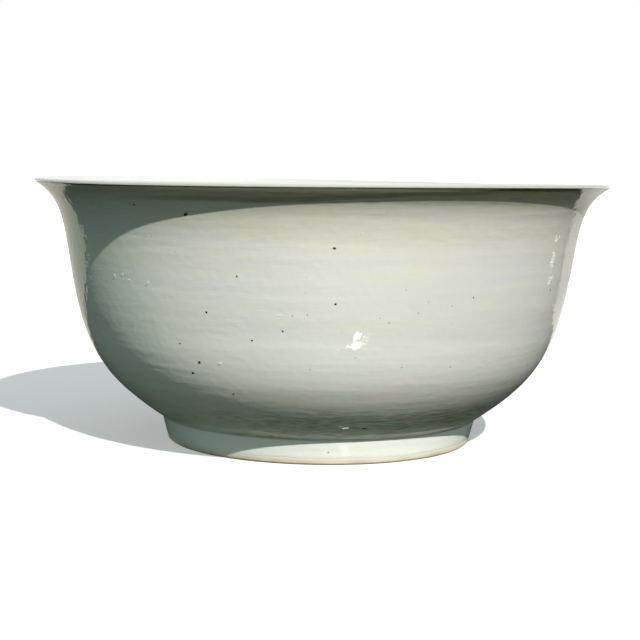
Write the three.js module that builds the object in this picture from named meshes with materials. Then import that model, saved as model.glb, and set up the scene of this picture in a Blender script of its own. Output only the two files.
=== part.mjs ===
// A large pale-glazed centerpiece bowl: a deep thrown body with a flared lip, on a turned foot ring.
// It stands on z = 0 with its axis on Z, and every size is in millimetres.
//
// The clay is two pieces, the thrown bowl and its foot ring, luted together with slip. Five coats of glaze
// lie on them: outside, foot, lip, inside and base. Only the foot's standing edge is left bare.
// Everything is turned, so each piece is one outline in the plane of radius and height, spun round the axis.
// The sizes are those of the glazed surface, and the clay lies under it by one coat and its clearance.

import * as THREE from "three";

// Overall size, over the glaze.
const RIM_DIAMETER = 420;
const BOWL_HEIGHT = 192.5; // to the highest point of the rim, which a thrown bowl warps by a millimetre or so

// The foot: its height up to the crease under the belly, and its two leaning faces.
const FOOT_HEIGHT = 18;
const FOOT_BASE_DIAMETER = 225;
const FOOT_LEAN = 14.6; // degrees that the outside face opens out from upright as it rises
const FOOT_WIDTH = 11; // from the outside face to the bore, at the table
const BORE_LEAN = 12; // degrees that the bore closes in from upright as it rises
const OUTER_BEVEL = 1.5;
const INNER_BEVEL = 1;
const CEILING_DROP = 7; // from the crease down to the glazed ceiling inside the foot

// The outside outline rises from the crease to the waist, its straightest point, and flares out to the lip.
// A lean is in degrees outwards from upright. A hold is how far the outline keeps that lean.
const CREASE_LEAN = 55;
const CREASE_HOLD = 43.5;
const WAIST_DIAMETER = 363.2;
const WAIST_HEIGHT = 114;
const WAIST_LEAN = 10.4;
const WAIST_HOLD_DOWN = 56;
const WAIST_HOLD_UP = 42;
const LIP_LEAN = 60;
const LIP_HOLD = 25;

// Thickness of the wall, clay and both coats together, measured square to the outside.
const LIP_THICKNESS = 4.4;
const WAIST_THICKNESS = 6.5;
const CREASE_THICKNESS = 8.5;
const FLOOR_THICKNESS = 8;

// The inside floor is flat at the middle and curves up to meet the wall.
const FLOOR_FLAT_DIAMETER = 170;
const FLOOR_JOIN = 0.15; // where the curve meets the wall, as a share of the way from crease to waist
const FLOOR_JOIN_HOLD = 20;

// Glaze and slip.
const GLAZE = 0.7; // one coat
const CLEARANCE = 0.3; // between a coat and what it lies on or meets
const OUTER_GLAZE_LINE = 4.5; // height at which the foot's outside is wiped bare
const INNER_GLAZE_LINE = 3.5; // the same inside the foot
const SLIP = 1;

// Facets: round the axis, and along each stretch of the outline.
const FACETS = 48;
const BELLY_STEPS = 8;
const FLARE_STEPS = 7;
const FLOOR_STEPS = 5;

const glazedClay = new THREE.MeshStandardMaterial({ color: 0xd5d9cc, roughness: 0.18, metalness: 0 });
const thinGlaze = new THREE.MeshStandardMaterial({ color: 0xe2e4da, roughness: 0.2, metalness: 0 });
const bareClay = new THREE.MeshStandardMaterial({ color: 0xcdbf9f, roughness: 0.85, metalness: 0 });
const drySlip = new THREE.MeshStandardMaterial({ color: 0xd8cfb8, roughness: 0.9, metalness: 0 });

const UNDER_GLAZE = GLAZE + CLEARANCE; // how far the clay lies under the glazed surface
const LIP_ROUND = LIP_THICKNESS / 2;
const RECESS_DEPTH = FOOT_HEIGHT - CEILING_DROP; // from the table up to that ceiling
const SEAT_HEIGHT = RECESS_DEPTH + UNDER_GLAZE; // the flat under the bowl that the foot is luted to
const FLOOR_HEIGHT = RECESS_DEPTH + FLOOR_THICKNESS;
const RING_TOP = SEAT_HEIGHT - SLIP;

const point = (radius, height) => new THREE.Vector2(radius, height);

// The direction of an outline that leans so many degrees outwards from upright.
function leaning(degrees) {
  const angle = THREE.MathUtils.degToRad(degrees);
  return point(Math.sin(angle), Math.cos(angle));
}

// Square to an upward outline, away from the axis.
const outwards = (direction) => point(direction.y, -direction.x);

// A point so deep under a surface that faces the way of out.
const under = (surface, depth) => surface.at.clone().addScaledVector(surface.out, -depth);

// Where two faces that meet at a corner lie once both are taken so deep.
function cornerUnder(corner, outA, outB, depth) {
  const both = outA.clone().add(outB);
  return corner.clone().addScaledVector(both, (-2 * depth) / both.lengthSq());
}

// The smooth stretch between two stations of an outline.
function stretch(lower, upper) {
  return new THREE.CubicBezierCurve(
    lower.at,
    lower.at.clone().addScaledVector(leaning(lower.lean), lower.holdUp),
    upper.at.clone().addScaledVector(leaning(upper.lean), -upper.holdDown),
    upper.at,
  );
}

// Surface points along a stretch of the outside, each with the wall's thickness there.
function outsideAlong(curve, steps, thickBelow, thickAbove) {
  return Array.from({ length: steps + 1 }, (_, i) => {
    const share = i / steps;
    return {
      at: curve.getPoint(share),
      out: outwards(curve.getTangent(share)),
      thickness: THREE.MathUtils.lerp(thickBelow, thickAbove, share),
    };
  });
}

// The same place on the inside of the wall, facing the inside.
const insideOf = (surface) => ({ at: under(surface, surface.thickness), out: surface.out.clone().negate() });

// A point of the foot's outside face or of its bore, at a height and so deep under the glazed surface.
function footFace(height, depth) {
  const up = leaning(FOOT_LEAN);
  return point(FOOT_BASE_DIAMETER / 2 + (height * up.x - depth) / up.y, height);
}

function boreFace(height, depth) {
  const up = leaning(-BORE_LEAN);
  return point(FOOT_BASE_DIAMETER / 2 - FOOT_WIDTH + (height * up.x + depth) / up.y, height);
}

const lipCentre = point(RIM_DIAMETER / 2 - LIP_ROUND, BOWL_HEIGHT - LIP_ROUND);
const lipOut = outwards(leaning(LIP_LEAN));
const crease = { at: footFace(FOOT_HEIGHT, 0), lean: CREASE_LEAN, holdUp: CREASE_HOLD };
const waist = {
  at: point(WAIST_DIAMETER / 2, WAIST_HEIGHT),
  lean: WAIST_LEAN,
  holdDown: WAIST_HOLD_DOWN,
  holdUp: WAIST_HOLD_UP,
};
const lip = { at: lipCentre.clone().addScaledVector(lipOut, LIP_ROUND), lean: LIP_LEAN, holdDown: LIP_HOLD };

const bellyCurve = stretch(crease, waist);
const belly = outsideAlong(bellyCurve, BELLY_STEPS, CREASE_THICKNESS, WAIST_THICKNESS);
const flare = outsideAlong(stretch(waist, lip), FLARE_STEPS, WAIST_THICKNESS, LIP_THICKNESS);
const outside = [...belly, ...flare.slice(1)];

// The inside runs from the middle of the floor out to the wall, and up it to the lip.
const join = insideOf({
  at: bellyCurve.getPoint(FLOOR_JOIN),
  out: outwards(bellyCurve.getTangent(FLOOR_JOIN)),
  thickness: THREE.MathUtils.lerp(CREASE_THICKNESS, WAIST_THICKNESS, FLOOR_JOIN),
});
const floorCurve = new THREE.CubicBezierCurve(
  point(0, FLOOR_HEIGHT),
  point(FLOOR_FLAT_DIAMETER / 2, FLOOR_HEIGHT),
  join.at.clone().addScaledVector(bellyCurve.getTangent(FLOOR_JOIN), -FLOOR_JOIN_HOLD),
  join.at,
);
const floor = Array.from({ length: FLOOR_STEPS + 1 }, (_, i) => {
  const share = i / FLOOR_STEPS;
  return { at: floorCurve.getPoint(share), out: outwards(floorCurve.getTangent(share)).negate() };
});
const wallAboveJoin = outside.filter((_, i) => i > FLOOR_JOIN * BELLY_STEPS + 0.5);
const inside = [...floor, ...wallAboveJoin.map(insideOf)];

// The round of the lip at a given radius, from its outside to its inside. It passes the outermost and
// the topmost point, so that the bowl has its full diameter and height. Trim is left off at each end.
function lipRound(radius, trim = 0) {
  const start = -LIP_LEAN + THREE.MathUtils.radToDeg(trim / LIP_ROUND);
  const end = 180 - LIP_LEAN - THREE.MathUtils.radToDeg(trim / LIP_ROUND);
  return [start, start / 2, 0, 45, 90, end].map((degrees) => {
    const angle = THREE.MathUtils.degToRad(degrees);
    return lipCentre.clone().add(point(Math.cos(angle), Math.sin(angle)).multiplyScalar(radius));
  });
}

// Spins an outline round the axis. The outline goes up its outside and down its inside, and either starts
// and ends on the axis or is closed here.
function turned(name, outline, material) {
  const onAxis = outline[0].x === 0 && outline.at(-1).x === 0;
  const mesh = new THREE.Mesh(
    new THREE.LatheGeometry(onAxis ? outline : [...outline, outline[0]], FACETS),
    material,
  );
  mesh.name = name;
  return mesh;
}

// The thrown and turned bowl. Its underside is one flat, and a short collar below the crease takes the foot.
function clayBowl() {
  return turned(
    "clay_bowl",
    [
      point(0, SEAT_HEIGHT),
      footFace(SEAT_HEIGHT, UNDER_GLAZE),
      cornerUnder(crease.at, outwards(leaning(FOOT_LEAN)), outside[0].out, UNDER_GLAZE),
      ...outside.slice(1).map((surface) => under(surface, UNDER_GLAZE)),
      ...lipRound(LIP_ROUND - UNDER_GLAZE).slice(1, -1),
      ...inside.map((surface) => under(surface, UNDER_GLAZE)).reverse(),
    ],
    bareClay,
  );
}

// The foot ring, with both edges of its standing face bevelled.
function footRing() {
  const outerEdge = footFace(0, UNDER_GLAZE);
  const innerEdge = boreFace(0, UNDER_GLAZE);
  return turned(
    "foot_ring",
    [
      point(innerEdge.x + INNER_BEVEL, 0),
      point(outerEdge.x - OUTER_BEVEL, 0),
      footFace(OUTER_BEVEL, UNDER_GLAZE),
      footFace(RING_TOP, UNDER_GLAZE),
      boreFace(RING_TOP, UNDER_GLAZE),
      boreFace(INNER_BEVEL, UNDER_GLAZE),
    ],
    bareClay,
  );
}

// The slip that the foot ring is luted on with fills the joint between the two flats.
function slipJoint() {
  return turned(
    "slip_joint",
    [
      boreFace(RING_TOP, UNDER_GLAZE),
      footFace(RING_TOP, UNDER_GLAZE),
      footFace(SEAT_HEIGHT, UNDER_GLAZE),
      boreFace(SEAT_HEIGHT, UNDER_GLAZE),
    ],
    drySlip,
  );
}

// The coat on the outside, from the crease to where the lip starts to round.
function outerGlaze() {
  return turned(
    "outer_glaze",
    [...outside.map((surface) => surface.at), ...outside.map((surface) => under(surface, GLAZE)).reverse()],
    glazedClay,
  );
}

// The coat on the foot's outside, from the glaze line to the crease.
function footGlaze() {
  const top = FOOT_HEIGHT - CLEARANCE;
  return turned(
    "foot_glaze",
    [
      footFace(OUTER_GLAZE_LINE, 0),
      footFace(top, 0),
      footFace(top, GLAZE),
      footFace(OUTER_GLAZE_LINE, GLAZE),
    ],
    glazedClay,
  );
}

// The thin coat round the lip, where glaze drains away on both sides.
function lipGlaze() {
  return turned(
    "lip_glaze",
    [...lipRound(LIP_ROUND, CLEARANCE), ...lipRound(LIP_ROUND - GLAZE, CLEARANCE).reverse()],
    thinGlaze,
  );
}

// The coat on the floor and the wall inside.
function innerGlaze() {
  return turned(
    "inner_glaze",
    [...inside.map((surface) => under(surface, GLAZE)), ...inside.map((surface) => surface.at).reverse()],
    glazedClay,
  );
}

// The coat inside the foot: the ceiling of the recess and a skirt down the bore to its glaze line.
function baseGlaze() {
  return turned(
    "base_glaze",
    [
      point(0, RECESS_DEPTH),
      boreFace(RECESS_DEPTH, 0),
      boreFace(INNER_GLAZE_LINE, 0),
      boreFace(INNER_GLAZE_LINE, GLAZE),
      boreFace(RECESS_DEPTH + GLAZE, GLAZE),
      point(0, RECESS_DEPTH + GLAZE),
    ],
    glazedClay,
  );
}

// The outlines are spun round Y, so the whole bowl is tipped up onto Z.
const bowl = new THREE.Group();
bowl.rotation.x = Math.PI / 2;
bowl.add(
  clayBowl(),
  footRing(),
  slipJoint(),
  outerGlaze(),
  footGlaze(),
  lipGlaze(),
  innerGlaze(),
  baseGlaze(),
);

export default bowl;
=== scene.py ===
"""The looks of a large pale celadon bowl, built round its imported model.

The bowl stands on z = 0 with its axis on Z. The script works in metres and radians. A bearing is measured
round the axis from the side that faces the camera, and is positive towards the camera's right.

The glazed surface is one line, from the glaze line on the foot, up the outside, over the lip and down to
the middle of the floor. Each coat of glaze is a stretch of that line, turned by Geometry Nodes, which also
put in the throwing marks and the warp of the rim. Iron specks and blisters are set on the finished coats.
"""

import math

import bpy
from bpy.props import FloatProperty, FloatVectorProperty, IntProperty, PointerProperty
from bpy.types import Operator, Panel, PropertyGroup
from mathutils import Euler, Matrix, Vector


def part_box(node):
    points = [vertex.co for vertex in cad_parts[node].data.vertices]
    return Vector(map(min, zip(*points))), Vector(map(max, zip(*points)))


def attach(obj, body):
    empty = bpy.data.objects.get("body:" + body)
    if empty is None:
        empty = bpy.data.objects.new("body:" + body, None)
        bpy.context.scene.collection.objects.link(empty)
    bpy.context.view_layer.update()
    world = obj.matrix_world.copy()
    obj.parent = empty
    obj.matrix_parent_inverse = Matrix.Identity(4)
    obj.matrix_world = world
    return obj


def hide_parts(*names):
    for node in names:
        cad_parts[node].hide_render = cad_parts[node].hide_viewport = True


bl_info = {
    "name": "Celadon centerpiece bowl",
    "version": (1, 0, 0),
    "blender": (4, 5, 0),
    "location": "3D View > Sidebar > Bowl",
    "description": "Glaze, throwing marks, iron specks and a bare foot for a turned centerpiece bowl",
    "category": "Add Mesh",
}

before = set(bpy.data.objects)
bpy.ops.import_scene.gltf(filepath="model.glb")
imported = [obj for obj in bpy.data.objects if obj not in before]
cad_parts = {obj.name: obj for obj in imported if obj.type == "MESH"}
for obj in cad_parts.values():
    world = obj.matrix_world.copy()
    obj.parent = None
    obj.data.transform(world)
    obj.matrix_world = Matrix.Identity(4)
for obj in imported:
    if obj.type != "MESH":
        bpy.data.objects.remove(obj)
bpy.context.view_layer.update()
LIP_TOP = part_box("lip_glaze")[1]
CREASE_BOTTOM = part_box("outer_glaze")[0]
FLOOR_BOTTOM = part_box("inner_glaze")[0]
RECESS_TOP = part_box("base_glaze")[1]
BODY = "root"
MM = 0.001
GLAZE = 0.7 * MM
SHARP_ANGLE = math.radians(40)


def tone(red, green, blue):
    """A colour given as it looks on screen, 0 to 255, in the linear values that shaders take."""

    def linear(value):
        shown = value / 255
        return shown / 12.92 if shown <= 0.04045 else ((shown + 0.055) / 1.055) ** 2.4

    return tuple(linear(value) for value in (red, green, blue))


def length(name, description, default):
    return FloatProperty(name=name, description=description, default=default, subtype="DISTANCE",
                         unit="LENGTH")


def lean(name, description, degrees):
    return FloatProperty(name=name, description=description, default=math.radians(degrees), subtype="ANGLE")


def share(name, description, default):
    return FloatProperty(name=name, description=description, default=default, min=0, max=1, subtype="FACTOR")


def amount(name, description, default):
    return FloatProperty(name=name, description=description, default=default)


def colour(name, description, default):
    return FloatVectorProperty(name=name, description=description, default=default, size=3,
                               subtype="COLOR", min=0, max=1)


def count(name, description, default, least=0):
    return IntProperty(name=name, description=description, default=default, min=least)


class BowlShape(PropertyGroup):
    """The outline of the glazed bowl. A lean is outwards from upright, a hold is how long it is kept."""

    rim_radius: length("Rim radius", "Radius over the lip", LIP_TOP.x)
    height: length("Height", "Table to the highest point of the rim", LIP_TOP.z)
    lip_thickness: length("Lip thickness", "Width of the rounded lip", 3.5 * MM)
    lip_lean: lean("Lip lean", "Lean of the wall where it meets the lip", 60)
    lip_hold: length("Lip hold", "How long the wall keeps the lip's lean", 25 * MM)
    lip_arris: length("Lip arris", "Reach of the crisp edge under the lip's upright face", 0.35 * MM)
    waist_radius: length("Waist radius", "Radius at the straightest point of the wall", 181.6 * MM)
    waist_height: length("Waist height", "Height of that point", 114 * MM)
    waist_lean: lean("Waist lean", "Lean of the wall there", 10.4)
    waist_hold_down: length("Waist hold, down", "How long the wall keeps that lean below", 56 * MM)
    waist_hold_up: length("Waist hold, up", "How long the wall keeps that lean above", 42 * MM)
    waist_thickness: length("Waist thickness", "Thickness of the wall there", 6.5 * MM)
    crease_height: length("Crease height", "Table to the crease between foot and belly", CREASE_BOTTOM.z)
    crease_lean: lean("Crease lean", "Lean of the belly where it leaves the foot", 55)
    crease_hold: length("Crease hold", "How long the belly keeps that lean", 43.5 * MM)
    crease_thickness: length("Crease thickness", "Thickness of the wall there", 8.5 * MM)
    crease_fillet: length("Crease fillet", "Reach of the glaze that pools in the crease", 1.6 * MM)
    floor_height: length("Floor height", "Table to the glazed floor", FLOOR_BOTTOM.z + GLAZE)
    floor_flat_radius: length("Floor flat", "Radius over which the floor is flat", 85 * MM)
    floor_join: share("Floor join", "Where floor meets wall, from the crease to the waist", 0.15)
    floor_join_hold: length("Floor join hold", "How long the floor's curve keeps the wall's lean", 20 * MM)
    facets: count("Facets", "Facets round each turned piece", 360, 24)


class FootShape(PropertyGroup):
    """The foot ring and the recess inside it."""

    base_radius: length("Base radius", "Outside radius at the table, over the glaze", 112.5 * MM)
    face_lean: lean("Face lean", "Lean of the outside face", 14.6)
    width: length("Width", "From the outside face to the bore, at the table", 11 * MM)
    bore_lean: lean("Bore lean", "How far the bore closes in as it rises", 12)
    recess_depth: length("Recess depth", "Table to the glazed ceiling", RECESS_TOP.z - GLAZE)
    glaze_line: length("Glaze line", "Height to which the outside is wiped bare", 4.5 * MM)
    bore_glaze_line: length("Bore glaze line", "The same inside the foot", 3.5 * MM)
    glaze_line_wander: length("Glaze line wander", "How far that line wanders", 0.35 * MM)
    taper: length("Taper", "How far above that line the glaze thins out", 1.2 * MM)
    bare_depth: length("Bare depth", "How far the bare clay lies under the glazed surface", 0.12 * MM)
    outer_bevel: length("Outer bevel", "Bevel of the outer standing edge", 1.1 * MM)
    inner_bevel: length("Inner bevel", "Bevel of the inner standing edge", 1 * MM)
    clay_depth: length("Clay depth", "How far the clay lies under the glazed surface", 1 * MM)


class ThrowingMarks(PropertyGroup):
    """What the potter's hands and tools leave in the surface."""

    ring_spacing: length("Ring spacing", "Width of one throwing ring", 9 * MM)
    ring_depth: length("Ring depth", "Depth of the throwing rings", 0.09 * MM)
    streak_spacing: length("Streak spacing", "Width of one turning mark", 2.4 * MM)
    streak_depth: length("Streak depth", "Depth of the turning marks", 0.018 * MM)
    sway: length("Sway", "How far the wall wanders from true", 0.35 * MM)
    sway_length: length("Sway length", "How far apart that wandering comes back", 90 * MM)
    rim_warp: length("Rim warp", "How far the rim dips and rises from its mean", 1 * MM)
    warp_bearing: lean("Warp bearing", "Bearing of one of the rim's two low points", 135)
    seed: count("Seed", "Which bowl of the batch", 7)


class GlazeFinish(PropertyGroup):
    """Colours and gloss of the glaze, some of which also paint light and shade into it."""

    cool: colour("Cool", "The glaze where it is greyer", tone(231, 230, 230))
    warm: colour("Warm", "The glaze where it is yellower", tone(234, 234, 217))
    # Painted light: the thin tone also lightens the lower belly and the foot, in place of light thrown up
    # from below.
    thin: colour("Thin", "Where it runs thin, on the lower belly and the foot", tone(253, 252, 243))
    # Painted shade: the lip's tone is darker than the outside's, to offset the stronger light that falls on
    # its top.
    lip: colour("Lip", "Where it runs off the lip", tone(208, 208, 201))
    # Painted shade: a dark line just under the lip's edge.
    lip_edge_shade: colour("Lip line", "Share of the tone in the line that it pools in at the lip's edge",
                     tone(132, 130, 112))
    # Painted shade: a darker soft band below that line.
    lip_shade_band: colour("Lip roll", "Share of the tone in the soft roll that hangs below that line",
                     tone(212, 216, 206))
    # Painted shade: an olive tint under the lip.
    under_lip: colour("Under the lip", "Share of the tone all round there", tone(255, 248, 222))
    wiped: colour("Wiped", "The glaze's edge above the bare clay", tone(254, 248, 230))
    # Partly real pooling, partly painted shade: this tone also darkens the crease and the band under the lip.
    pooled: colour("Pooled", "Where it pools, above the crease and under the lip", tone(170, 177, 153))
    mossy: colour("Mossy", "Share of the tone in greener strokes under the belly", tone(247, 249, 239))
    rosy: colour("Rosy", "Share of the tone in greyer strokes there", tone(254, 243, 240))
    # Painted shade: the side at the darker bearing is painted darker.
    darker_side: colour("Deep side", "Share of the tone on the side it was poured from", tone(230, 230, 231))
    # Painted shade: a teal tint on the outside's shaded side.
    teal_shade_side: colour("Green side", "Share of the tone on the side away from there", tone(246, 255, 248))
    # The bearing of the side painted darker, which stands in for how the key light falls.
    darker_side_bearing: lean("Pour bearing", "Bearing of the side it was poured from", 80)
    # Painted shade: the inside's tone is darker than the outside's, to offset the stronger light that falls
    # inside the bowl.
    inside: colour("Inside", "The thicker coat inside the bowl", tone(200, 201, 194))
    inside_pooled: colour("Inside, pooled", "Where the inside coat pools, on the floor", tone(172, 186, 172))
    dust: colour("Dust", "Faint iron dust in the glaze", tone(120, 116, 92))
    dustiness: share("Dustiness", "How strongly that dust shows", 0.35)
    gloss: amount("Roughness", "Roughness of the fired glaze", 0.025)
    mirror: share("Mirror", "How strongly it mirrors head on, where 0.5 is plain glass", 0.35)
    peel_depth: length("Peel depth", "Depth of the orange peel", 0.13 * MM)
    pinhole_depth: length("Pinhole depth", "Depth of the pinholes", 0.12 * MM)
    brush_depth: length("Brush depth", "Depth of the fine rings that the brush leaves", 0.05 * MM)


class BareClayFinish(PropertyGroup):
    """Colours of the unglazed clay."""

    pale: colour("Pale", "Dry fired clay", tone(242, 230, 208))
    toasted: colour("Toasted", "Clay that the kiln has toasted", tone(229, 209, 183))
    washed: colour("Washed", "Clay just below the glaze, which keeps a wash of it", tone(250, 242, 222))
    # The colour of the dark grit specks, and the colour the clay darkens to towards the standing edge.
    dark_clay: colour("Soiled", "Dirt in the standing edge", tone(120, 104, 84))


class IronSpecks(PropertyGroup):
    """Iron that has burnt through the glaze."""

    density: amount("Density", "Specks on a square metre, away from the camera", 230)
    least: length("Least", "Diameter of the smallest speck", 0.5 * MM)
    most: length("Most", "Diameter of the largest speck", 1.5 * MM)
    flatness: share("Flatness", "Height of a speck as a share of its width", 0.16)
    dark: colour("Dark", "Colour of a strong speck", tone(30, 29, 24))
    brown: colour("Brown", "Colour of a weaker one", tone(92, 80, 58))
    seed: count("Seed", "Where the specks fall", 11)


class GlazeBlisters(PropertyGroup):
    """Small bubbles that froze in the glaze."""

    density: amount("Density", "Blisters on a square metre, away from the camera", 25)
    least: length("Least", "Width of the smallest blister", 1 * MM)
    most: length("Most", "Width of the largest blister", 2 * MM)
    flatness: share("Flatness", "Height of a blister as a share of its width", 0.14)
    seed: count("Seed", "Where the blisters fall", 13)


class BowlStage(PropertyGroup):
    """The studio: camera, lamps and floor."""

    camera_distance: length("Camera distance", "From the bowl's axis", 1.066)
    camera_height: length("Camera height", "Above the table", 197.9 * MM)
    camera_pitch: lean("Camera pitch", "How far it looks down", 5.92)
    camera_roll: lean("Camera roll", "How far it is rolled", 0.92)
    lens: amount("Lens", "Focal length in mm on a 36 mm sensor", 80.4)
    key_bearing: lean("Key bearing", "Bearing of the key light", 22)
    key_height: lean("Key height", "Angle of the key light above the table", 38)
    key_width: lean("Key width", "How wide the key light looks from the bowl", 0.7)
    key_strength: amount("Key strength", "What the key light brings, in watts on a square metre", 3.82)
    key_colour: colour("Key colour", "Tint of the key light", (1.0, 0.985, 0.955))
    fill: amount("Fill", "Strength of the room's light", 0.38)
    fill_colour: colour("Fill colour", "Tint of the room's light near the table's level", (0.6, 0.96, 1.0))
    fill_above: colour("Fill above", "Tint of the room's light from above", (0.92, 0.99, 0.99))
    bounce: colour("Bounce", "How much the floor gives back", (0.034, 0.036, 0.024))
    near_bounce: colour("Near bounce", "How much it gives back close to the bowl", (0.14, 0.168, 0.152))
    left_loss: share("Left loss", "How much less of it there is on the left", 0.8)
    right_bounce: colour("Right bounce", "How much it gives back far off on the right", (0.22, 0.185, 0.13))


GROUPS = {
    "bowl_shape": BowlShape,
    "foot_shape": FootShape,
    "throwing_marks": ThrowingMarks,
    "glaze_finish": GlazeFinish,
    "bare_clay_finish": BareClayFinish,
    "iron_specks": IronSpecks,
    "blisters": GlazeBlisters,
    "bowl_stage": BowlStage,
}

# Outline.

# How many steps each stretch of the outline is cut into. The hidden side of a coat takes one step in six.
BELLY_STEPS = 100
FLARE_STEPS = 84
FACE_STEPS = 12
FILLET_STEPS = 6
ARRIS_STEPS = 6
LIP_STEPS = 12
FLOOR_STEPS = 44
HIDDEN_STEP = 6
# Steps of the shorter stretches of the foot: the taper of its glaze, the ceiling and the skirt of its recess,
# the standing edge, and the bare clay outside and in the bore.
TAPER_STEPS = 5
CEILING_STEPS = 40
SKIRT_STEPS = 8
STANDING_STEPS = 6
BARE_STEPS = 4
BARE_BORE_STEPS = 3
# How far the curve of the crisp edge under the lip is drawn to its corner.
ARRIS_PULL = 0.6
DOWN = Vector((0, -1))


class Spot:
    """A place on a turned outline: radius and height, the way its surface faces, and how far along it is."""

    def __init__(self, at, out, along=0.0):
        self.at = at
        self.out = out
        self.along = along

    def under(self, depth):
        return Spot(self.at - self.out * depth, self.out, self.along)

    def turned_over(self):
        return Spot(self.at, -self.out, self.along)


def leaning(angle):
    return Vector((math.sin(angle), math.cos(angle)))


def outwards(direction):
    return Vector((direction.y, -direction.x)).normalized()


def straight(start, end, out, steps):
    """Evenly spaced spots on a straight stretch."""
    return [Spot(start.lerp(end, i / steps), out) for i in range(steps + 1)]


def stretch(handles, steps):
    """Spots along a Bezier curve that is given by its two ends and the two handles between them."""
    a, b, c, d = handles
    spots = []
    for i in range(steps + 1):
        t = i / steps
        s = 1 - t
        at = a * s**3 + b * (3 * s * s * t) + c * (3 * s * t * t) + d * t**3
        heading = (b - a) * (s * s) + (c - b) * (2 * s * t) + (d - c) * (t * t)
        spots.append(Spot(at, outwards(heading)))
    return spots


def measure(spots):
    """Says at each spot how far along the line it lies."""
    along = 0.0
    for before, spot in zip(spots, spots[1:]):
        along += (spot.at - before.at).length
        spot.along = along


def foot_face(foot, height, depth=0.0):
    up = leaning(foot.face_lean)
    return Vector((foot.base_radius + (height * up.x - depth) / up.y, height))


def bore_face(foot, height, depth=0.0):
    up = leaning(-foot.bore_lean)
    return Vector((foot.base_radius - foot.width + (height * up.x + depth) / up.y, height))


def face_out(foot):
    """The way that the foot's outside face looks."""
    return outwards(leaning(foot.face_lean))


def bore_out(foot):
    """The way that the face of its bore looks, towards the axis."""
    return -outwards(leaning(-foot.bore_lean))


def lip_centre(bowl):
    half = bowl.lip_thickness / 2
    return Vector((bowl.rim_radius - half, bowl.height - half))


def outside_handles(bowl, foot):
    """The ends and handles of the belly's curve and of the flare's, which meet at the waist."""
    crease = foot_face(foot, bowl.crease_height)
    waist = Vector((bowl.waist_radius, bowl.waist_height))
    lip = lip_centre(bowl) + outwards(leaning(bowl.lip_lean)) * (bowl.lip_thickness / 2)
    leans = (bowl.crease_lean, bowl.waist_lean, bowl.lip_lean)
    belly_way, waist_way, lip_way = (leaning(angle) for angle in leans)
    belly = (crease, crease + belly_way * bowl.crease_hold, waist - waist_way * bowl.waist_hold_down, waist)
    flare = (waist, waist + waist_way * bowl.waist_hold_up, lip - lip_way * bowl.lip_hold, lip)
    return belly, flare


def foot_and_fillet(bowl, foot, belly_start):
    """The foot's glazed face, and the small fillet that leads from it into the belly."""
    top = foot_face(foot, bowl.crease_height - bowl.crease_fillet)
    crease = foot_face(foot, bowl.crease_height)
    fillet = stretch((top, crease, crease, belly_start), FILLET_STEPS)[:-1]
    fillet[0].out = face_out(foot)
    return straight(foot_face(foot, foot.glaze_line), top, face_out(foot), FACE_STEPS), fillet


def round_lip(bowl, steps):
    """The round of the lip as spots, from its outermost point to where the inside wall begins."""
    half = bowl.lip_thickness / 2
    spots = []
    for i in range(steps + 1):
        angle = (math.pi - bowl.lip_lean) * i / steps
        out = Vector((math.cos(angle), math.sin(angle)))
        spots.append(Spot(lip_centre(bowl) + out * half, out))
    return spots


def lip_spots(bowl, wall_end):
    """The lip, which stands upright on its outside, down to a crisp edge in line with the wall under it."""
    half = bowl.lip_thickness / 2
    edge = lip_centre(bowl) + Vector((half, -half * math.tan(bowl.lip_lean / 2)))
    below = edge - leaning(bowl.lip_lean) * bowl.lip_arris
    above = edge + Vector((0, bowl.lip_arris))
    arris = stretch((below, below.lerp(edge, ARRIS_PULL), above.lerp(edge, ARRIS_PULL), above), ARRIS_STEPS)
    return [wall_end] + arris + round_lip(bowl, LIP_STEPS)


def wall_inside(spots, below, above):
    """The inside of the wall, opposite the spots of the outside, with the wall's thickness at both ends."""
    last = len(spots) - 1
    return [spot.under(below + (above - below) * i / last).turned_over() for i, spot in enumerate(spots)]


def inside_spots(bowl, belly, flare):
    """The inside from the lip to the middle of the floor, given the outside of the belly and of the flare."""
    belly_inside = wall_inside(belly, bowl.crease_thickness, bowl.waist_thickness)
    flare_inside = wall_inside(flare, bowl.waist_thickness, bowl.lip_thickness)
    join = belly_inside[round(bowl.floor_join * (len(belly_inside) - 1))]
    wall = [spot for spot in belly_inside if spot.at.y > join.at.y][:-1] + flare_inside
    floor_handles = (
        Vector((0, bowl.floor_height)),
        Vector((bowl.floor_flat_radius, bowl.floor_height)),
        join.at - outwards(join.out) * bowl.floor_join_hold,
        join.at,
    )
    floor = [spot.turned_over() for spot in stretch(floor_handles, FLOOR_STEPS)]
    return (floor + wall)[::-1]


def glazed_line(scene):
    """The whole glazed surface as four stretches, from the foot's glaze line to the middle of the floor."""
    bowl, foot = scene.bowl_shape, scene.foot_shape
    belly_handles, flare_handles = outside_handles(bowl, foot)
    belly = stretch(belly_handles, BELLY_STEPS)
    flare = stretch(flare_handles, FLARE_STEPS)
    inside = inside_spots(bowl, belly, flare)
    belly = [spot for spot in belly if (spot.at - belly[0].at).length >= bowl.crease_fillet]
    face, fillet = foot_and_fillet(bowl, foot, belly[0].at)
    lip = lip_spots(bowl, flare[-1])
    measure(face + fillet[1:] + belly + flare[1:] + lip[1:] + inside[1:])
    fillet[0].along = face[-1].along
    inside[0].along = lip[-1].along
    return {"foot": face, "outer": fillet + belly + flare[1:], "lip": lip, "inner": inside}


def coat_loop(spots):
    """The section of a coat: its glazed side and, back under it, a plainer hidden side."""
    hidden = spots[:1] + spots[HIDDEN_STEP:-HIDDEN_STEP:HIDDEN_STEP] + spots[-1:]
    return spots + [spot.under(GLAZE) for spot in reversed(hidden)]


def closed(loop):
    return loop + loop[:1]


# Node trees.


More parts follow.
